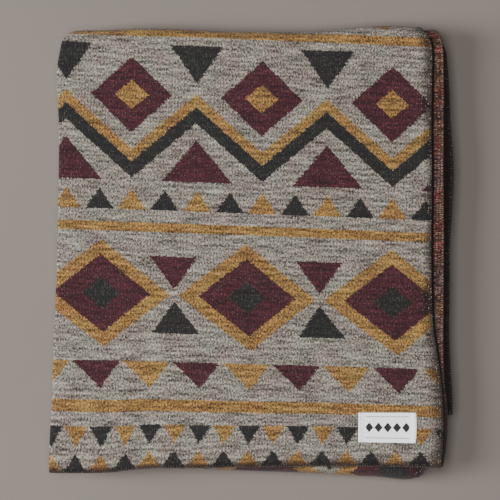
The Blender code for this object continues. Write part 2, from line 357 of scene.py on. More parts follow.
# How far the first hem of the top layers droops, in mm, at places across
hemDroop = tableOf(
    "x drop",
    (-210, 0.8),
    (-120, 1.3),
    (0, 1.8),
    (90, 2.5),
    (205, 3.0),
)
droopReach = 10.0 * mm
droopEnd = 2.9  # place across the cloth, in layers, where the droop has died out
droopFade = 0.7


def drooped(points, passIndex):
    # the first hem sinks where the last layers stop short of it
    if passIndex != 0:
        return points
    x, y = points[:, 0], points[:, 1]
    hemY = easeThrough(hems, "first", x)
    away = np.clip(y - hemY, 0, None) / droopReach
    free = np.clip((droopEnd - clothPlace) / droopFade, 0, 1)
    drop = easeThrough(hemDroop, "drop", x) * np.exp(-(away**2)) * free
    return np.stack([x, y, points[:, 2] - drop], 1)


def raised(points):
    # the stack's swells, then the creases, which die out below the top
    x, y, z = points[:, 0] / mm, points[:, 1] / mm, points[:, 2]
    share = np.zeros(len(points))
    for row in swells:
        across = (x - row["x"]) / row["wide"]
        along = (y - row["y"]) / row["long"]
        share += row["rise"] * np.exp(-(across**2 + along**2))
    nearTop = np.exp(-np.clip(stackHeight - z, 0, None) / creaseFade)
    lift = np.zeros(len(points))
    for row in creases:
        turn = math.radians(row["turn"])
        dx, dy = x - row["x"], y - row["y"]
        along = (dx * math.cos(turn) + dy * math.sin(turn)) / row["long"]
        across = (dy * math.cos(turn) - dx * math.sin(turn)) / row["wide"]
        lift += row["lift"] * mm * np.exp(-(across**2 + along**2))
    return np.stack([points[:, 0], points[:, 1], z * (1 + share) + lift * nearTop], 1)


def clothRings():
    # rings of the cloth's two sides, each with its pass, or -1 on a turn
    passLength = cloth["passSpan"]
    rings = []
    along = 0.0
    for passIndex in range(passes):
        steps = cloth["passSteps"][passIndex]
        shares, thin = sharesAlong(steps, passLength, passIndex == 0, passIndex == passes - 1)
        for share, thinness in zip(shares, thin):
            offset = halfCloth * stations["thin"] * thinness
            sides = [drooped(passPoint(passIndex, share, way * offset), passIndex) for way in (1, -1)]
            rings.append((*sides, passIndex))
        along += passLength
        if passIndex < passes - 1:
            for i in range(1, cloth["turnSteps"]):
                angle = math.pi * i / cloth["turnSteps"]
                offset = halfCloth * stations["thin"]
                rings.append((*[turnPoint(passIndex, angle, way * offset) for way in (1, -1)], -1))
            along += math.pi * turnRadius
    return rings, along


rings, clothLength = clothRings()
ringCount = len(rings)
clothPoints = raised(np.concatenate([ring[side] for side in (0, 1) for ring in rings]))
low, high = clothPoints.min(0), clothPoints.max(0)
recentre = np.array([(low[0] + high[0]) / 2, (low[1] + high[1]) / 2, low[2]])
clothPoints -= recentre

# How far the woven lines lean down to the right: distances from the first hem, and degrees
lineLean = ((0.0, 0.06, 0.24, 0.44), (0.0, 1.5, 2.0, 2.1))
hemFollow = 0.14  # beyond this the woven lines no longer follow the hem's waves
stretchStart, stretchEnd = 1.2, clothWidth - 0.05  # the map is drawn out here to the full width


def lengthsAlong(grid, axis):
    # distance over the cloth from its first edge, for each vertex
    steps = np.linalg.norm(np.diff(grid, axis=axis), axis=2)
    total = np.cumsum(steps, axis=axis)
    pad = [(1, 0), (0, 0)] if axis == 0 else [(0, 0), (1, 0)]
    return np.pad(total, pad)


def clothMapOf(middle):
    # place on the flat cloth of each vertex of one side
    grid = middle.reshape(ringCount, stationCount, 3)
    u, v = lengthsAlong(grid, 1), lengthsAlong(grid, 0)
    drawn = np.clip((u - stretchStart) / (stretchEnd - stretchStart), 0, 1)
    u += (clothWidth - u[:, -1:]) * drawn
    x = grid[:, :, 0]
    hemWave = easeThrough(hems, "first", x)
    share = np.clip(v / hemFollow, 0, 1)
    follow = share * share * (3 - 2 * share)
    degrees = np.interp(v, *lineLean)
    lined = v + follow * (hemWave - hemWave.mean()) + x * np.tan(np.radians(degrees))
    return np.stack([u.ravel(), lined.ravel()], 1)


clothMap = np.tile(clothMapOf(clothPoints.reshape(2, -1, 3).mean(0)), (2, 1))


def foldMarksOf():
    # how far a point is beyond the free edge above it, and how far it is from the second fold
    turned = np.where(stations["side"] > 0, -stations["angle"] * cloth["puffRound"], farAway)
    arc = np.where(stations["side"] == 0, (1 - stations["share"]) * cloth["puffSpan"], turned)
    arc = np.where(stations["layer"] == 1, arc, farAway)
    marks = np.zeros((ringCount, stationCount, 3))
    marks[:, :, 0] = farAway
    marks[:, :, 1] = arc
    for index, (upper, _, passIndex) in enumerate(rings):
        if passIndex == 0:
            marks[index, :, 0] = upper[:, 0] - easeThrough(firstPass, "free", upper[:, 1])
    return np.tile(marks.reshape(-1, 3), (2, 1))


def sheetFaces(rows, columns):
    # faces of a closed sheet with two sides of rows times columns points: the upper side, the
    # lower side, and the four edges
    def upper(row, column):
        return row * columns + column

    def lower(row, column):
        return rows * columns + row * columns + column

    def quads(*corners):
        return np.stack(corners, 1)

    r, s = np.meshgrid(np.arange(rows - 1), np.arange(columns - 1), indexing="ij")
    r, s = r.ravel(), s.ravel()
    faces = [
        quads(upper(r, s), upper(r + 1, s), upper(r + 1, s + 1), upper(r, s + 1)),
        quads(lower(r, s), lower(r, s + 1), lower(r + 1, s + 1), lower(r + 1, s)),
    ]
    q, end = np.arange(rows - 1), columns - 1
    faces.append(quads(upper(q, 0), lower(q, 0), lower(q + 1, 0), upper(q + 1, 0)))
    faces.append(quads(upper(q, end), upper(q + 1, end), lower(q + 1, end), lower(q, end)))
    q, end = np.arange(columns - 1), rows - 1
    faces.append(quads(upper(0, q), upper(0, q + 1), lower(0, q + 1), lower(0, q)))
    faces.append(quads(upper(end, q), lower(end, q), lower(end, q + 1), upper(end, q + 1)))
    return faces


def setMap(mesh, name, places):
    # the piece's own UV map, from a place for each vertex
    corners = np.empty(len(mesh.loops), np.int32)
    mesh.loops.foreach_get("vertex_index", corners)
    mesh.uv_layers.new(name=name).data.foreach_set("uv", places[corners].ravel())


def buildCloth(name):
    faces = sheetFaces(ringCount, stationCount)
    item = makeObject(name, clothPoints, [], np.concatenate(faces))
    mesh = item.data
    setMap(mesh, "clothMap", clothMap)
    marks = mesh.attributes.new("foldMarks", "FLOAT_VECTOR", "POINT")
    marks.data.foreach_set("vector", foldMarksOf().ravel())
    # the face, the reverse, and the cut edges
    slots = np.concatenate([np.full(len(part), min(i, 2), np.int32) for i, part in enumerate(faces)])
    mesh.polygons.foreach_set("material_index", slots)
    return item


blanket = buildCloth("blanketCloth")
print("cloth folded:", len(blanket.data.polygons), "faces")

# Shader helpers: each adds a node to the tree of the first socket that it is given


def feed(socket, value):
    if isinstance(value, bpy.types.NodeSocket):
        socket.id_data.links.new(value, socket)
    else:
        socket.default_value = value


def addNode(kind, values, **settings):
    # values are sockets and constants, as a list or by the name of the input
    named = values if isinstance(values, dict) else dict(enumerate(values))
    tree = next(value.id_data for value in named.values() if isinstance(value, bpy.types.NodeSocket))
    node = tree.nodes.new(kind)
    for key, value in settings.items():
        setattr(node, key, value)
    for key, value in named.items():
        feed(node.inputs[key], value)
    return node.outputs


def compute(operation, *values):
    return addNode("ShaderNodeMath", values, operation=operation)[0]


operations = ("ADD", "SUBTRACT", "MULTIPLY", "DIVIDE", "LESS_THAN")
add, subtract, multiply, divide, below = (partial(compute, name) for name in operations)


def centred(value, amount):
    # noise around 0 instead of 0.5, times an amount
    return multiply(subtract(value, 0.5), amount)


def vectorMath(operation, *values):
    return addNode("ShaderNodeVectorMath", values, operation=operation)[0]


def splitVector(vector):
    return addNode("ShaderNodeSeparateXYZ", [vector])


def joinVector(x, y, z=0.0):
    return addNode("ShaderNodeCombineXYZ", [x, y, z])[0]


def noise(vector, scale, detail=2.0, roughness=0.5):
    values = {"Vector": vector, "Scale": scale, "Detail": detail, "Roughness": roughness}
    return addNode("ShaderNodeTexNoise", values)["Fac"]


def whiteNoise(vector):
    return addNode("ShaderNodeTexWhiteNoise", {"Vector": vector}, noise_dimensions="3D")["Value"]


def mapRange(value, low, high, toLow=0.0, toHigh=1.0):
    values = (value, low, high, toLow, toHigh)
    return addNode("ShaderNodeMapRange", values, interpolation_type="SMOOTHSTEP")[0]


def fade(value, low, high):
    return mapRange(value, low, high, 1.0, 0.0)


def mixColour(factor, first, second, blend="MIX"):
    values = {"Factor": factor, "A": first, "B": second}
    return addNode("ShaderNodeMix", values, data_type="RGBA", blend_type=blend)["Result"]


def constantRamp(value, colours):
    # picks a colour by a whole number from 0
    node = value.id_data.nodes.new("ShaderNodeValToRGB")
    ramp = node.color_ramp
    ramp.interpolation = "CONSTANT"
    while len(ramp.elements) < len(colours):
        ramp.elements.new(1.0)
    for i, colour in enumerate(colours):
        ramp.elements[i].position = i / len(colours)
        ramp.elements[i].color = colour
    feed(node.inputs[0], divide(add(value, 0.5), len(colours)))
    return node.outputs["Color"]


def addBump(shader, height, strength, distance):
    values = {"Height": height, "Strength": strength, "Distance": distance}
    feed(shader["Normal"], addNode("ShaderNodeBump", values)[0])


everyFinish = {"Sheen Roughness": 0.6, "Specular IOR Level": 0.25}  # the same on all materials


def newMaterial(name, roughness, sheen=0.0, uvMap=None):
    # the material, its shader's inputs, and the place on its UV map or in Object coordinates
    material = bpy.data.materials.new(name)
    material.use_nodes = True
    nodes = material.node_tree.nodes
    shader = nodes["Principled BSDF"].inputs
    for title, value in {"Roughness": roughness, "Sheen Weight": sheen, **everyFinish}.items():
        shader[title].default_value = value
    if uvMap is None:
        return material, shader, nodes.new("ShaderNodeTexCoord").outputs["Object"]
    source = nodes.new("ShaderNodeUVMap")
    source.uv_map = uvMap
    return material, shader, source.outputs["UV"]


def newGroup(name, inputs, outputs):
    # shader node group that takes a vector and numbers, and gives numbers
    tree = bpy.data.node_groups.new(name, "ShaderNodeTree")
    face = tree.interface
    face.new_socket("Vector", in_out="INPUT", socket_type="NodeSocketVector")
    for title in inputs.split():
        face.new_socket(title, in_out="INPUT", socket_type="NodeSocketFloat")
    for title in outputs.split():
        face.new_socket(title, in_out="OUTPUT", socket_type="NodeSocketFloat")
    return tree, tree.nodes.new("NodeGroupInput").outputs, tree.nodes.new("NodeGroupOutput").inputs


def placeGroup(group, vector, **numbers):
    values = {"Vector": vector}
    for key, value in numbers.items():
        values[key.capitalize()] = value
    return addNode("ShaderNodeGroup", values, node_tree=group)


def linear(red, green, blue):
    # display colour, 0 to 255, as a linear one
    def part(value):
        value = value / 255
        return value / 12.92 if value <= 0.04045 else ((value + 0.055) / 1.055) ** 2.4

    return (part(red), part(green), part(blue), 1.0)


# The woven pattern: rows of plain motifs


def rowGroup(kind):
    # one row of a motif: its mask, and the number of the motif across the cloth
    tree, given, out = newGroup(kind + "Row", "Start Height Pitch Shift Width Step", "Mask Count")
    x, y, _ = splitVector(given["Vector"])
    x = compute("SNAP", subtract(x, given["Shift"]), given["Step"])
    y = compute("SNAP", subtract(y, given["Start"]), given["Step"])
    place = divide(x, given["Pitch"])
    count = compute("ROUND", place)
    side = compute("ABSOLUTE", subtract(place, count))
    side = multiply(side, given["Pitch"])  # distance from the motif's middle
    t = divide(y, given["Height"])  # share of the row's height
    halfWidth = multiply(given["Width"], 0.5)
    inside = multiply(compute("GREATER_THAN", t, 0.0), below(t, 1.0))
    if kind == "stripe":
        mask = inside
    if kind == "triangle":
        mask = multiply(inside, below(side, multiply(halfWidth, subtract(1.0, t))))
    if kind == "diamond":
        fromMiddle = compute("ABSOLUTE", subtract(multiply(t, 2.0), 1.0))
        mask = below(side, multiply(halfWidth, subtract(1.0, fromMiddle)))
    if kind == "zigzag":
        line = multiply(multiply(divide(side, given["Pitch"]), 2.0), given["Height"])
        mask = below(compute("ABSOLUTE", subtract(y, line)), halfWidth)
    feed(out["Mask"], mask)
    feed(out["Count"], count)
    return tree


rowGroups = {kind: rowGroup(kind) for kind in ("stripe", "triangle", "diamond", "zigzag")}
motifColumns = "kind start height pitch shift width"


def placeRow(row, place, step):
    # the motif of a table's row, whose sizes are in mm
    sizes = {key: row[key] * mm for key in motifColumns.split()[1:]}
    return placeGroup(rowGroups[row["kind"]], place, step=step, **sizes)


# Yarns by number: 0 grey ground, 1 mustard, 2 maroon, 3 charcoal. Sizes in mm from the hem.
# A row with a second yarn takes the two in turn.
patternRows = tableOf(
    motifColumns + " yarn second",
    ("triangle", 0, 17, 25.4, 22, 25, 3, 1),
    ("triangle", 43.5, -20, 25.4, -3, 24.5, 3, 1),
    ("stripe", 55.5, 13, 50, 0, 50, 1),
    ("triangle", 108, -28, 51.2, 44, 49.5, 2, 1),
    ("diamond", 121, 110, 150, 40, 142, 1),
    ("diamond", 136, 80, 150, 40, 100, 2),
    ("diamond", 160, 32, 150, 40, 40, 3),
    ("triangle", 136, 34, 150, -35, 50, 3),
    ("triangle", 216, -34, 150, -35, 50, 2),
    ("stripe", 239.5, 10.5, 50, 0, 50, 1),
    ("triangle", 262, 22, 33.6, 6, 31, 3, 1),
    ("zigzag", 304, 58, 134.4, 40, 17, 3),
    ("zigzag", 319, 58, 134.4, 40, 13, 1),
    ("triangle", 292, 44, 134.4, 107.2, 74, 2),
    ("diamond", 342, 78, 134.4, 40, 84, 2),
    ("diamond", 366, 30, 134.4, 40, 34, 1),
    ("triangle", 434, -40, 134.4, 107.2, 56, 3),
    ("stripe", 441, 10, 50, 0, 50, 1),
)
patternSize = {
    "middle": 915 * mm,  # the rows run back from the middle of the cloth
    "thread": 1.35 * mm,
    "wander": 0.9 * mm,
    "cell": (1.8 * mm, 1.4 * mm, 1.0),  # one thread end
}
patternJumps = ((452 * mm, 337 * mm), (789 * mm, 345 * mm))  # past each place the rows start again


def patternGroup():
    tree, given, out = newGroup("wovenPattern", "", "Yarn")
    u, v, _ = splitVector(given["Vector"])
    # thread ends wander, so that motif edges are a little ragged
    ragged = subtract(whiteNoise(vectorMath("SNAP", given["Vector"], patternSize["cell"])), 0.5)
    u = add(u, multiply(ragged, patternSize["wander"] * 2))
    v = add(v, multiply(ragged, patternSize["wander"]))
    v = compute("PINGPONG", v, patternSize["middle"])
    half = v
    for start, back in patternJumps:
        v = subtract(v, multiply(compute("GREATER_THAN", half, start), back))
    place = joinVector(u, v)
    yarn = 0.0
    for row in patternRows:
        motif = placeRow(row, place, patternSize["thread"])
        colour = row["yarn"]
        if "second" in row:
            odd = compute("PINGPONG", motif["Count"], 1.0)
            colour = add(colour, multiply(odd, row["second"] - colour))
        yarn = add(multiply(subtract(colour, yarn), motif["Mask"]), yarn)
    feed(out["Yarn"], yarn)
    return tree


wovenPattern = patternGroup()

# Wool yarn: leaning floats, flecks and felted patches
weave = {
    "rowHigh": 2.2 * mm,  # one row of floats
    "waleWide": 3.1 * mm,
    "lean": 1.3 * mm,  # sideways shift of a float over its row
    "wobble": 1.5 * mm,
    "middle": 0.62,  # share of light fibre
    "shade": {"wale": 0.05, "grain": 1.6, "streak": 0.85, "patch": 0.2, "fibre": 0.4},
    "height": {"wale": 0.25, "grain": 1.2, "fibre": 0.5},
    "grainStretch": (1.3, 0.8, 1.0),
    "streakStretch": (0.13, 1.0, 1.0),
}
# Scale, detail and roughness of each noise
woolNoise = {
    "wobble": (170.0, 1.0, 0.5),
    "grain": (540.0, 1.0, 0.5),
    "streak": (300.0, 1.0, 0.5),
    "fibre": (2600.0, 2.0, 0.6),
    "patch": (40.0, 3.0, 0.55),
}


def woolGroup():
    tree, given, out = newGroup("woolFloats", "", "Light Patch Height")
    place = given["Vector"]
    u, v, _ = splitVector(place)
    wobble = centred(noise(place, *woolNoise["wobble"]), weave["wobble"] * 2)
    v = subtract(v, wobble)
    swing = multiply(compute("PINGPONG", divide(v, weave["rowHigh"]), 1.0), weave["lean"])
    u = add(add(u, wobble), swing)
    leaned = vectorMath("MULTIPLY", joinVector(u, v), weave["grainStretch"])
    streaked = vectorMath("MULTIPLY", place, weave["streakStretch"])
    parts = {
        "wale": compute("COSINE", multiply(u, 2 * math.pi / weave["waleWide"])),
        "grain": noise(leaned, *woolNoise["grain"]),
        "streak": noise(streaked, *woolNoise["streak"]),
        "patch": noise(place, *woolNoise["patch"]),
        "fibre": noise(place, *woolNoise["fibre"]),
    }
    light = add(weave["middle"], multiply(parts["wale"], weave["shade"]["wale"]))
    for name in ("grain", "streak", "patch", "fibre"):
        light = add(light, centred(parts[name], weave["shade"][name]))
    clamped = addNode("ShaderNodeClamp", [light])[0]
    feed(out["Light"], compute("POWER", clamped, 2.0))  # as even to the eye
    feed(out["Patch"], parts["patch"])
    height = 0.0
    for name, amount in weave["height"].items():
        height = add(multiply(parts[name], amount), height)
    feed(out["Height"], height)
    return tree


woolFloats = woolGroup()

# Light and dark fibres of each yarn, in the order of the yarn numbers
faceYarns = {
    "light": (linear(158, 150, 143), linear(165, 126, 71), linear(75, 31, 41), linear(37, 36, 36)),
    "dark": (linear(16, 14, 13), linear(31, 18, 6), linear(18, 5, 9), linear(10, 10, 11)),
    "fleck": linear(178, 166, 158),
    "fleckAmount": 0.11,
    "sparse": 1.0,  # above 1 there are fewer light fibres
}
reverseYarns = {
    "light": (linear(116, 54, 53), linear(94, 58, 51), linear(102, 69, 72), linear(101, 65, 46)),
    "dark": (linear(18, 8, 7), linear(14, 9, 7), linear(15, 11, 10), linear(19, 12, 8)),
    "fleck": linear(162, 128, 110),
    "fleckAmount": 0.55,
    "sparse": 1.6,
}
woolLook = {
    "roughness": 0.95,
    "sheen": 0.07,
    "tintRange": (0.35, 0.65),
    "sideFleck": 0.4,  # more flecks along the selvedges
    "bumpDepth": 0.6 * mm,
}
# colour of the darker wool pressed under the overlock along the face's cut edges, with painted shade
# where the edges turn away from the light
packedAndShadedTone = (0.20, 0.155, 0.14, 1.0)
# colour of the painted shade on the reverse: beside the selvedges, beyond the free edge above and near
# the first hem
reverseShadeTone = (0.13, 0.105, 0.095, 1.0)
warmTint = (1.0, 0.91, 0.87, 1.0)
coolTint = (0.94, 0.99, 0.91, 1.0)

# Reach of the darkening along the cut edges, partly wool pressed under the overlock and partly
# painted shade, in mm: between the first two places the value goes from the third number to the fourth
packingAndShade = {
    "selvedge": (30, 220, 19, 12),
    "farCorner": (350, 430, 0, 8),
    "hem": (90, 330, 11, 7),
}
packingAndShadeUneven = 24.0 * mm
packingAndShadeNoise = (30.0, 3.0)  # scale and detail
hemUneven = 0.3  # share of the unevenness that the hem takes
# up to here the darkening is full: pressed wool and painted shade
packedAndShadedLine = {"selvedge": 0.5 * mm, "hem": 2.0 * mm}  # fully packed up to here
# reach of the painted shade beside the selvedges on the reverse
selvedgeShadeReach = (9.0 * mm, 13.0 * mm)


def packedAndShadedReach(value, name):
    return mapRange(value, *(number * mm for number in packingAndShade[name]))


def packedAndShadedGroup():
    # how near a cut edge is, from 0 inside to 1 under the overlock: masks for the darker pressed wool
    # and the painted shade along the edges
    tree, given, out = newGroup("packedAndShadedEdge", "", "Edge Side Band")
    u, v, _ = splitVector(given["Vector"])
    uneven = centred(noise(given["Vector"], *packingAndShadeNoise), packingAndShadeUneven)
    nearest = compute("MINIMUM", u, subtract(clothWidth, u))
    corner = add(packedAndShadedReach(v, "selvedge"), packedAndShadedReach(v, "farCorner"))
    selvedge = fade(add(nearest, uneven), packedAndShadedLine["selvedge"], corner)
    waved = add(v, multiply(uneven, hemUneven))
    hem = fade(waved, packedAndShadedLine["hem"], packedAndShadedReach(u, "hem"))
    feed(out["Edge"], compute("MAXIMUM", selvedge, hem))
    feed(out["Side"], selvedge)
    # painted shade beside the selvedges, used on the reverse
    feed(out["Band"], fade(nearest, *selvedgeShadeReach))
    return tree


packedAndShadedEdge = packedAndShadedGroup()

# Shade of the reverse between the folds, and the row of flecks beside the second fold
foldLook = {
    "gap": (1.6 * mm, 3.4 * mm),  # beyond the free edge above
    "low": (60 * mm, 150 * mm),  # along the cloth from the first hem
    "lowShade": 0.88,
    "rowPlace": 0.7 * mm,
    "rowReach": (0.2 * mm, 1.0 * mm),
    "rowAmount": 0.9,
}


def foldGroup():
    tree, given, out = newGroup("foldShade", "Away Arc", "Shade Row")
    v = splitVector(given["Vector"])[1]
    gap = fade(given["Away"], *foldLook["gap"])
    low = mapRange(v, *foldLook["low"], foldLook["lowShade"], 0.0)
    feed(out["Shade"], compute("MAXIMUM", gap, low))
    besideFold = compute("ABSOLUTE", add(given["Arc"], foldLook["rowPlace"]))
    row = fade(besideFold, *foldLook["rowReach"])
    feed(out["Row"], multiply(row, subtract(foldLook["rowAmount"], low)))
    return tree


foldShade = foldGroup()

# Short light floats that dot the wool, one to a cell. Long and high are shares of the cell.
reverseFlecks = {"across": 3.4 * mm, "along": 1.9 * mm, "long": 0.42, "high": 0.26, "share": 0.55}
foldFlecks = {"across": 1.0, "along": 3.0 * mm, "long": 50.0, "high": 0.27, "share": 0.95}
faceFlecks = {"across": 2.3 * mm, "along": 2.2 * mm, "long": 0.24, "high": 0.34, "share": 0.27}
fleckLook = {
    "slide": 0.4,  # how far a fleck lies off the middle of its cell
    "slant": -0.7,
    "soft": (0.4, 1.3),
    "faintest": 0.25,
}


def fleckGroup():
    tree, given, out = newGroup("woolFlecks", "Across Along Long High Share", "Fleck")
    u, v, _ = splitVector(given["Vector"])
    cellU = divide(u, given["Across"])
    cellV = divide(v, given["Along"])
    cell = joinVector(compute("FLOOR", cellU), compute("FLOOR", cellV))
    chance = whiteNoise(cell)
    other = whiteNoise(vectorMath("ADD", cell, (0.0, 0.0, 5.0)))  # a second number for the cell
    shift = centred(other, fleckLook["slide"])
    parts = []
    slanted = multiply(shift, fleckLook["slant"])
    for place, size, slide in ((cellU, "Long", shift), (cellV, "High", slanted)):
        inner = subtract(compute("FRACT", place), add(slide, 0.5))
        parts.append(compute("POWER", divide(inner, given[size]), 2.0))
    dot = fade(add(*parts), *fleckLook["soft"])
    shown = below(chance, given["Share"])
    bright = mapRange(divide(chance, given["Share"]), 0.0, 1.0, fleckLook["faintest"])
    feed(out["Fleck"], multiply(multiply(dot, shown), bright))
    return tree


woolFlecks = fleckGroup()


def woolMaterial(name, yarns, bump, flecks, reverse):
    material, shader, place = newMaterial(name, woolLook["roughness"], woolLook["sheen"], "clothMap")
    yarn = placeGroup(wovenPattern, place)["Yarn"]
    wool = placeGroup(woolFloats, place)
    packedAndShaded = placeGroup(packedAndShadedEdge, place)
    fleck = placeGroup(woolFlecks, place, **flecks)["Fleck"]
    light = constantRamp(yarn, yarns["light"])
    dark = constantRamp(yarn, yarns["dark"])
    colour = mixColour(compute("POWER", wool["Light"], yarns["sparse"]), dark, light)
    tint = mixColour(mapRange(wool["Patch"], *woolLook["tintRange"]), warmTint, coolTint)
    colour = mixColour(1.0, colour, tint, "MULTIPLY")
    if reverse:
        marks = material.node_tree.nodes.new("ShaderNodeAttribute")
        marks.attribute_name = "foldMarks"
        away, arc, _ = splitVector(marks.outputs["Vector"])
        fold = placeGroup(foldShade, place, away=away, arc=arc)
        # painted shade on the reverse beside the selvedges, beyond the free edge above and near the
        # first hem, with fewer flecks in it
        shade = compute("MAXIMUM", packedAndShaded["Band"], fold["Shade"])
        colour = mixColour(shade, colour, reverseShadeTone, "MULTIPLY")
        fleck = multiply(fleck, subtract(yarns["fleckAmount"], shade))
        rowFleck = placeGroup(woolFlecks, place, **foldFlecks)["Fleck"]
        fleck = compute("MAXIMUM", fleck, multiply(rowFleck, fold["Row"]))
    else:
        # darker pressed wool along the face's cut edges, with painted shade where they turn away from
        # the light
        colour = mixColour(packedAndShaded["Edge"], colour, packedAndShadedTone, "MULTIPLY")
        more = multiply(packedAndShaded["Side"], woolLook["sideFleck"])
        fleck = multiply(fleck, add(more, yarns["fleckAmount"]))
    feed(shader["Base Color"], mixColour(fleck, colour, yarns["fleck"]))
    addBump(shader, wool["Height"], bump, woolLook["bumpDepth"])
    return material


blanket.data.materials.append(woolMaterial("faceWool", faceYarns, 0.7, faceFlecks, False))
blanket.data.materials.append(woolMaterial("reverseWool", reverseYarns, 0.7, reverseFlecks, True))
blanket.data.materials.append(woolMaterial("edgeWool", reverseYarns, 0.9, reverseFlecks, True))
print("wool dyed")

# The label
label = {
    "long": 59.0 * mm,
    "wide": 30.8 * mm,
    "centre": (138.4 * mm, -179.2 * mm),
    "turn": math.radians(-0.6),
    "thickness": 0.5 * mm,
    "lift": 0.32 * mm,
    "turnedEnd": 4.5 * mm,  # cloth turned under at each short end
    "turnedThick": 0.7,  # what it adds, as a share of the thickness
    "bow": 1.0 * mm,  # how far the right end bows out
    "taper": 0.03,
    "curl": 0.35 * mm,  # lift of the long sides
    "curlReach": 1.5 * mm,
    "rim": 0.25 * mm,
    "rimThick": 0.35,  # share of the thickness at the very edge
    "steps": (80, 40),
}
clothTree = BVHTree.FromObject(blanket, bpy.context.evaluated_depsgraph_get())


def labelPlace(u, v):
    # point of the table plane for a place on the label, from -0.5 to 0.5 each way
    x = u * label["long"] + (u + 0.5) * label["bow"] * (1 - 4 * v * v)
    y = v * label["wide"] * (1 + label["taper"] * u)
    c, s = math.cos(label["turn"]), math.sin(label["turn"])
    # the solids are centred on the origin, and so is the cloth
    return (
        label["centre"][0] - recentre[0] + x * c - y * s,
        label["centre"][1] - recentre[1] + x * s + y * c,
    )


def topOf(tree, x, y):
    return tree.ray_cast(Vector((x, y, 1.0)), Vector((0, 0, -1)))[0].z


def labelSection(u, v):
    # height of the label's middle, and its thickness
    toEnd = (0.5 - abs(u)) * label["long"]
    toSide = (0.5 - abs(v)) * label["wide"]
    doubled = 1 / (1 + math.exp((toEnd - label["turnedEnd"]) / label["rim"]))
    full = label["thickness"] * (1 + label["turnedThick"] * doubled)
    edge = min(1, min(toEnd, toSide) / label["rim"])
    curl = label["curl"] * math.exp(-toSide / label["curlReach"])
    middle = topOf(clothTree, *labelPlace(u, v)) + label["lift"] + curl + full / 2
    return middle, full * (label["rimThick"] + (1 - label["rimThick"]) * edge)


def buildLabel(name):
    across, along = label["steps"]
    tops, bottoms, places = [], [], []
    for i in range(across + 1):
        for j in range(along + 1):
            u, v = i / across - 0.5, j / along - 0.5
            x, y = labelPlace(u, v)
            middle, thick = labelSection(u, v)
            tops.append((x, y, middle + thick / 2))
            bottoms.append((x, y, middle - thick / 2))
            places.append((u * label["long"], v * label["wide"]))
    item = makeObject(name, tops + bottoms, [], np.concatenate(sheetFaces(across + 1, along + 1)))
    setMap(item.data, "labelMap", np.array(places + places))
    return item


labelLook = {
    "roughness": 0.62,
    "sheen": 0.1,
    "grain": (900.0, 3.0),
    "step": 0.3 * mm,  # the motif's edges are cut in steps of this
    "ribHigh": 0.5,
    "pickHigh": 0.3,
    "bump": 0.35,
    "bumpDepth": 0.08 * mm,
    "rib": 0.42 * mm,
    "pick": 0.3 * mm,
    "clear": 22.0 * mm,  # the motif stays within this of the middle
    "white": (linear(230, 230, 232), linear(246, 246, 250)),
    "black": (linear(9, 9, 11), linear(18, 18, 21)),
}
labelMarks = tableOf(
    motifColumns,
    ("stripe", 10.6, 0.7, 5, 0, 1),
    ("stripe", -11.3, 0.7, 5, 0, 1),
    ("diamond", -5.2, 10.4, 9.4, 0, 8.6),
)


def labelMaterial():
    # closely woven ribbon with two thin lines and a row of small plain diamonds
    look = labelLook
    material, shader, place = newMaterial("labelRibbon", look["roughness"], look["sheen"], "labelMap")
    x, y, _ = splitVector(place)
    ribs = compute("SINE", multiply(x, 2 * math.pi / look["rib"]))
    picks = compute("SINE", multiply(y, 2 * math.pi / look["pick"]))
    grain = noise(place, *look["grain"])
    mask = 0.0
    for row in labelMarks:
        mask = compute("MAXIMUM", mask, placeRow(row, place, look["step"])["Mask"])
    mask = multiply(mask, below(compute("ABSOLUTE", x), look["clear"]))
    white = mixColour(grain, *look["white"])
    black = mixColour(grain, *look["black"])
    feed(shader["Base Color"], mixColour(mask, white, black))
    height = add(multiply(ribs, look["ribHigh"]), multiply(picks, look["pickHigh"]))
    addBump(shader, height, look["bump"], look["bumpDepth"])
    return material


labelPiece = buildLabel("wovenLabel")
labelPiece.data.materials.append(labelMaterial())
print("label woven")

# Sewing: geometry nodes set a stitch along each edge
overlock = {
    "pitch": 2.7 * mm,
    "thread": 0.36 * mm,  # half the thread's thickness
    "bite": 4.4 * mm,  # how far the stitch reaches in from the edge
    "slant": 0.7 * mm,
    "sizeSpread": 0.3,  # how unevenly long the stitches are, as a share
    "turnSpread": 0.26,  # how far they lean either way, in radians
    "seed": 7,
}
labelStitch = {
    "pitch": 3.0 * mm,
    "thread": 0.2 * mm,
    "long": 2.2 * mm,
    "inset": 1.8 * mm,
    "rowShare": 0.93,  # how much of the label's width a row takes
    "points": 12,
    "sizeSpread": 0.15,
    "turnSpread": 0.12,
    "seed": 3,
}
threadLowest = 0.05 * mm
threadEnd = 0.5  # thickness of a thread's two ends, as a share


def tubeMesh(name, path, radius, sides, across):
    # closed tube along a short path in the stitch's own axes; across is clear of the path's way
    path = [Vector(point) for point in path]
    vertices, faces = [], []
    for i, point in enumerate(path):
        ahead = path[min(i + 1, len(path) - 1)] - path[max(i - 1, 0)]
        ahead.normalize()
        sideways = ahead.cross(Vector(across)).normalized()
        upward = sideways.cross(ahead)
        thin = threadEnd if i in (0, len(path) - 1) else 1.0
        for k in range(sides):
            angle = 2 * math.pi * k / sides
            away = sideways * math.cos(angle) + upward * math.sin(angle)
            vertices.append(point + away * radius * thin)
    for i in range(len(path) - 1):
        for k in range(sides):
            a, b = i * sides + k, i * sides + (k + 1) % sides
            faces.append((a, a + sides, b + sides, b))
    faces.append(tuple(range(sides)))
    faces.append(tuple(reversed(range(len(vertices) - sides, len(vertices)))))
    return makeObject(name, [tuple(v) for v in vertices], [], faces)


def randomBetween(lowest, highest, seed):
    # an even random number for each stitch
    node = seed.id_data.nodes.new("FunctionNodeRandomValue")
    node.data_type = "FLOAT"
    limits = [socket for socket in node.inputs if socket.enabled and socket.type == "VALUE"]
    feed(limits[0], lowest)
    feed(limits[1], highest)
    feed(node.inputs["Seed"], seed)
    return next(socket for socket in node.outputs if socket.enabled)


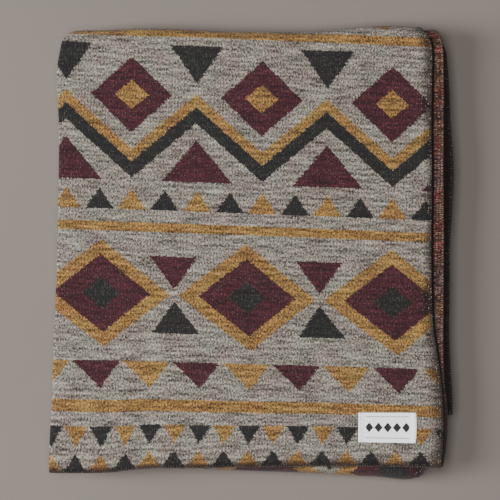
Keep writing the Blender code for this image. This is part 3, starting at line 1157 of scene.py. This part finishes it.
def sewingTree(name, stitch, material):
    # a stitch at every pitch along a line that carries its outward and upward directions
    tree = bpy.data.node_groups.new(name, "GeometryNodeTree")
    face = tree.interface
    face.new_socket("Geometry", in_out="INPUT", socket_type="NodeSocketGeometry")
    for title in ("pitch", "sizeSpread", "turnSpread"):
        face.new_socket(title, in_out="INPUT", socket_type="NodeSocketFloat")
    face.new_socket("seed", in_out="INPUT", socket_type="NodeSocketInt")
    face.new_socket("Geometry", in_out="OUTPUT", socket_type="NodeSocketGeometry")
    given = tree.nodes.new("NodeGroupInput").outputs
    curve = addNode("GeometryNodeMeshToCurve", [given["Geometry"]])[0]
    values = {"Curve": curve, "Length": given["pitch"]}
    points = addNode("GeometryNodeResampleCurve", values, mode="LENGTH")[0]
    directions = []
    for title in ("outward", "upward"):
        read = tree.nodes.new("GeometryNodeInputNamedAttribute")
        read.data_type = "FLOAT_VECTOR"
        read.inputs["Name"].default_value = title
        directions.append(read.outputs["Attribute"])
    turn = addNode("FunctionNodeAxesToRotation", directions, primary_axis="X", secondary_axis="Z")[0]
    shape = tree.nodes.new("GeometryNodeObjectInfo")
    shape.inputs["Object"].default_value = stitch
    uneven = given["sizeSpread"]
    long = randomBetween(subtract(1.0, uneven), add(1.0, uneven), given["seed"])
    values = {
        "Points": points,
        "Instance": shape.outputs["Geometry"],
        "Rotation": turn,
        "Scale": joinVector(long, 1.0, 1.0),
    }
    placed = addNode("GeometryNodeInstanceOnPoints", values)[0]
    lean = given["turnSpread"]
    swing = randomBetween(multiply(lean, -1.0), lean, given["seed"])
    values = {"Instances": placed, "Rotation": joinVector(0.0, 0.0, swing)}
    turned = addNode("GeometryNodeRotateInstances", values)[0]
    real = addNode("GeometryNodeRealizeInstances", [turned])[0]
    finish = addNode("GeometryNodeSetMaterial", {"Geometry": real, "Material": material})[0]
    feed(tree.nodes.new("NodeGroupOutput").inputs[0], finish)
    return tree


def plainMesh(item, material):
    # the modifier's result as a plain mesh, and the modifier gone
    graph = bpy.context.evaluated_depsgraph_get()
    mesh = bpy.data.meshes.new_from_object(item.evaluated_get(graph), depsgraph=graph)
    item.modifiers.clear()
    item.data = mesh
    mesh.materials.clear()
    mesh.materials.append(material)
    for vertex in mesh.vertices:
        vertex.co.z = max(vertex.co.z, threadLowest)  # pressed flat on the surface below
    return item


def sewAlong(name, lines, stitch, material, size):
    # lines are (points, outward, upward) arrays; the result is one plain mesh
    points, outward, upward = (np.concatenate(parts) for parts in zip(*lines))
    edges = []
    for line in lines:
        first = edges[-1][1] + 1 if edges else 0
        edges += [(first + i, first + i + 1) for i in range(len(line[0]) - 1)]
    item = makeObject(name, points, edges, [])
    for title, values in (("outward", outward), ("upward", upward)):
        attribute = item.data.attributes.new(title, "FLOAT_VECTOR", "POINT")
        attribute.data.foreach_set("vector", values.ravel())
    modifier = item.modifiers.new("sewing", "NODES")
    modifier.node_group = sewingTree(name + "Tree", stitch, material)
    for socket in modifier.node_group.interface.items_tree:
        if socket.in_out == "INPUT" and socket.name in size:
            modifier[socket.identifier] = size[socket.name]
    return plainMesh(item, material)


threadLook = {
    "sheen": 0.15,
    "toneScale": 420.0,
    "toneReach": 0.36,  # how much noise lies between dark and light
    "fibreScale": 5200.0,
    "bump": 0.5,
    "bumpDepth": 0.1 * mm,
}


def threadMaterial(name, light, dark, roughness, lowest=0.42):
    material, shader, place = newMaterial(name, roughness, threadLook["sheen"])
    tone = noise(place, threadLook["toneScale"])
    tone = mapRange(tone, lowest, lowest + threadLook["toneReach"])
    feed(shader["Base Color"], mixColour(tone, dark, light))
    addBump(shader, noise(place, threadLook["fibreScale"]), threadLook["bump"], threadLook["bumpDepth"])
    return material


def unit(vectors):
    return vectors / np.maximum(np.linalg.norm(vectors, axis=1, keepdims=True), 1e-9)


upperGrid, lowerGrid = clothPoints.reshape(2, ringCount, stationCount, 3)


def edgeLine(edge, inner):
    # middle of an edge, the way out of the cloth, and the way up from its reverse to its face
    middle = (upperGrid[edge] + lowerGrid[edge]) / 2
    outs = unit(middle - (upperGrid[inner] + lowerGrid[inner]) / 2)
    return middle, outs, unit(upperGrid[inner] - lowerGrid[inner])


inward = len(cloth["edgeRound"]) - 1
whole = slice(None)
selvedges = [edgeLine((whole, 0), (whole, inward)), edgeLine((whole, -1), (whole, -1 - inward))]
hemLines = [edgeLine(0, inward), edgeLine(-1, -1 - inward)]

# Way of one stitch round the edge, as distances outward, along the edge and up
over = halfCloth + 0.06 * mm
bite, slant = overlock["bite"], overlock["slant"]
overlockPath = [
    (-bite, -slant, over * 0.9),
    (-bite * 0.55, -slant * 0.5, over + 0.05 * mm),
    (-0.9 * mm, 0.0, over + 0.03 * mm),
    (-0.1 * mm, 0.1 * mm, over * 0.62),
    (0.12 * mm, 0.15 * mm, 0.0),
    (-0.1 * mm, 0.2 * mm, -over * 0.62),
    (-0.9 * mm, 0.25 * mm, -over - 0.03 * mm),
    (-bite, slant, -over * 0.9),
]
alongEdge, fromLabelEnd = (0.0, 1.0, 0.02), (-1.0, 0.0, 0.02)
overlockStitch = tubeMesh("overlockShape", overlockPath, overlock["thread"], 5, alongEdge)
edgeThread = threadMaterial("edgeThread", linear(128, 102, 90), linear(26, 19, 16), 0.85, 0.5)
selvedgeSewing = sewAlong("selvedgeOverlock", selvedges, overlockStitch, edgeThread, overlock)
# the hem's thread is darker than the selvedge's: partly its own brown, partly painted shade where the
# hem turns away from the light
hemThread = threadMaterial("hemThread", linear(80, 64, 55), linear(27, 20, 17), 0.85)
hemSewing = sewAlong("hemOverlock", hemLines, overlockStitch, hemThread, overlock)

run = labelStitch["long"] / 2
labelStitchPath = [
    (-0.1 * mm, -run, -0.35 * mm),
    (0.0, -run * 0.75, 0.12 * mm),
    (0.0, 0.0, 0.2 * mm),
    (0.0, run * 0.75, 0.12 * mm),
    (0.1 * mm, run, -0.35 * mm),
]
labelTree = BVHTree.FromObject(labelPiece, bpy.context.evaluated_depsgraph_get())


def labelRow(side):
    # line of sewing down one short end of the label
    u = side * (0.5 - labelStitch["inset"] / label["long"])
    points = []
    for k in range(labelStitch["points"]):
        v = (k / (labelStitch["points"] - 1) - 0.5) * labelStitch["rowShare"]
        x, y = labelPlace(u, v)
        points.append((x, y, topOf(labelTree, x, y)))
    outs = np.tile([side, 0.0, 0.0], (len(points), 1))
    ups = np.tile([0.0, 0.0, 1.0], (len(points), 1))
    return points, outs, ups


labelThread = threadMaterial("labelThread", linear(226, 226, 230), linear(176, 175, 178), 0.6)
labelShape = tubeMesh("labelStitchShape", labelStitchPath, labelStitch["thread"], 6, fromLabelEnd)
labelRows = [labelRow(-1), labelRow(1)]
labelSewing = sewAlong("labelSewing", labelRows, labelShape, labelThread, labelStitch)
for shape in (overlockStitch, labelShape):
    bpy.data.objects.remove(shape, do_unlink=True)
print("edges and label sewn")

# What each piece is
for piece in (blanket, labelPiece, selvedgeSewing, hemSewing, labelSewing):
    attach(piece, "root")
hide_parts("blanket")
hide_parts("label")

# Floor, light and camera
stageLook = {
    "floor": linear(110, 102, 96),
    "floorDarker": 0.97,
    "floorNoise": (3.0, 3.0),
    "floorRange": (0.3, 0.7),
    "floorRoughness": 0.85,
    "floorHalf": 6.0,
    "frameWide": 515 * mm,  # what the picture takes in at the height of the top layer
    "cameraUp": 2.3,
    "sensor": 36.0,
    "aim": (-1.95 * mm, 3.5 * mm),
    "room": (1.0, 0.97, 0.94, 1.0),
    "roomLight": 0.045,
}
# Name, place, size across and up, and power of each light
lights = [
    ("windowLight", (-2.3, 0.0, 1.75), (1.0, 1.9), 152),
    ("overheadLight", (-0.3, 0.0, 3.2), (1.3, 1.3), 100),
    ("lowFill", (1.7, -1.5, 0.22), (1.5, 0.36), 20),
]


def buildFloor():
    half = stageLook["floorHalf"]
    corners = [(-half, -half, 0), (half, -half, 0), (half, half, 0), (-half, half, 0)]
    floor = makeObject("floor", corners, [], [(0, 1, 2, 3)])
    material, shader, place = newMaterial("floorPaint", stageLook["floorRoughness"])
    tone = mapRange(noise(place, *stageLook["floorNoise"]), *stageLook["floorRange"])
    colour = stageLook["floor"]
    darker = tuple(part * stageLook["floorDarker"] for part in colour[:3]) + (1.0,)
    feed(shader["Base Color"], mixColour(tone, darker, colour))
    floor.data.materials.append(material)


def addArea(name, place, size, power):
    # soft light that looks at the origin
    light = bpy.data.lights.new(name, "AREA")
    light.shape = "RECTANGLE"
    light.size, light.size_y = size
    light.energy = power
    item = placeData(name, light)
    item.location = place
    item.rotation_euler = (Vector((0, 0, 0)) - Vector(place)).to_track_quat("-Z", "Y").to_euler()


buildFloor()
for light in lights:
    addArea(*light)
world = bpy.data.worlds.new("softRoom")
world.use_nodes = True
background = world.node_tree.nodes["Background"]
background.inputs[0].default_value = stageLook["room"]
background.inputs[1].default_value = stageLook["roomLight"]
bpy.context.scene.world = world

camera = bpy.data.cameras.new("camera")
cameraItem = placeData("camera", camera)
cameraItem.location = (*stageLook["aim"], stackHeight + stageLook["cameraUp"])
camera.sensor_width = stageLook["sensor"]
camera.lens = stageLook["sensor"] * stageLook["cameraUp"] / stageLook["frameWide"]
bpy.context.scene.camera = cameraItem
print("stage set")
